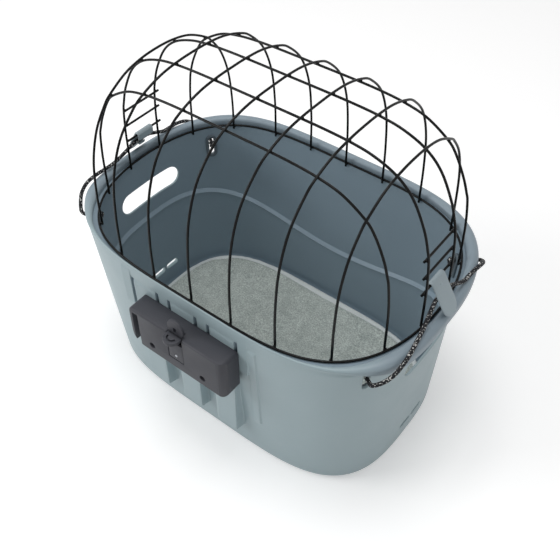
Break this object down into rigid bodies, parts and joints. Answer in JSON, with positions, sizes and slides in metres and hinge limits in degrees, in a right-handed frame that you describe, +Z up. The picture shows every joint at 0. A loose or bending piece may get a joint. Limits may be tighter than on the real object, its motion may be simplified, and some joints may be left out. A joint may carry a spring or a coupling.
{
  "type": "dog bicycle basket",
  "caption": "Oval moulded handlebar basket for a small dog, with a domed wire cage held by two elastic hooks, a floor cushion and a quick-release mount.",
  "frame": {"origin": "middle of the tub's underside, on the ground it stands on", "axes": "+X to the right along the handlebar, seen from the mount side; +Y away from the mount, towards the front of the basket; +Z up. The quick-release mount faces -Y."},
  "size_m": [0.5004, 0.3786, 0.4602],
  "materials": {
    "tub_plastic": "moulded blue-grey polypropylene, soft sheen outside, fine grain inside",
    "adapter_plastic": "moulded dark warm grey, matt",
    "cage_wire": "black plastic-coated steel wire, glossy",
    "hook_plastic": "smooth light blue-grey",
    "elastic": "woven round elastic, dark grey with pale flecks",
    "plush": "short grey-green plush with a smooth pale edging",
    "steel": "zinc-plated"
  },
  "bodies": {
    "tub": {"tub": "tub_plastic", "cord_guide_left_near": "hook_plastic", "cord_guide_left_far": "hook_plastic", "cord_guide_right_near": "hook_plastic", "cord_guide_right_far": "hook_plastic", "cord_knot_left_near": "elastic", "cord_knot_left_far": "elastic", "cord_knot_right_near": "elastic", "cord_knot_right_far": "elastic", "left_cord": "elastic", "right_cord": "elastic", "floor_cushion": "plush", "mount_housing": "adapter_plastic", "lock_tab": "adapter_plastic", "screw_left": "steel", "screw_right": "steel", "washer_left": "steel", "washer_right": "steel", "nut_left": "steel", "nut_right": "steel", "spacer_left": "adapter_plastic", "button_spring": "steel"},
    "cage": {"cage_ring": "cage_wire", "cross_wire_1": "cage_wire", "cross_wire_2": "cage_wire", "cross_wire_3": "cage_wire", "cross_wire_4": "cage_wire", "cross_wire_5": "cage_wire", "cross_wire_6": "cage_wire", "cross_wire_7": "cage_wire", "long_wire_1": "cage_wire", "long_wire_2": "cage_wire", "long_wire_3": "cage_wire", "long_wire_4": "cage_wire", "left_ladder_bar_1": "cage_wire", "left_ladder_bar_2": "cage_wire", "left_ladder_bar_3": "cage_wire", "right_ladder_bar_1": "cage_wire", "right_ladder_bar_2": "cage_wire", "right_ladder_bar_3": "cage_wire"},
    "left_hook": {"left_hook": "hook_plastic"},
    "right_hook": {"right_hook": "hook_plastic"},
    "release_button": {"release_button": "adapter_plastic"},
    "latch": {"latch_panel": "adapter_plastic", "latch_pin": "steel"}
  },
  "joints": [
    {"name": "cage_tilt", "type": "hinge", "parent": "tub", "child": "cage", "pos_m": [-0.2227, 0, 0.2985], "axis": [0, -1, 0], "range_deg": [0, 80], "deforming": ["right_cord"]},
    {"name": "left_hook_swing", "type": "hinge", "parent": "tub", "child": "left_hook", "pos_m": [-0.2227, 0, 0.2985], "axis": [0, 1, 0], "range_deg": [0, 35], "deforming": ["left_cord"]},
    {"name": "right_hook_swing", "type": "hinge", "parent": "cage", "child": "right_hook", "pos_m": [0.2227, 0, 0.2985], "axis": [0, -1, 0], "range_deg": [0, 35], "deforming": ["right_cord"]},
    {"name": "button_press", "type": "slide", "parent": "tub", "child": "release_button", "axis": [0, 0, -1], "range_m": [0, 0.003], "stiffness_N_per_m": 800, "springref_m": -0.002, "deforming": ["button_spring"]},
    {"name": "latch_retract", "type": "slide", "parent": "tub", "child": "latch", "axis": [0, 1, 0], "range_m": [0, 0.003]}
  ],
  "couplings": [
    {"joint": "latch_retract", "follows": "button_press", "ratio": 1}
  ]
}
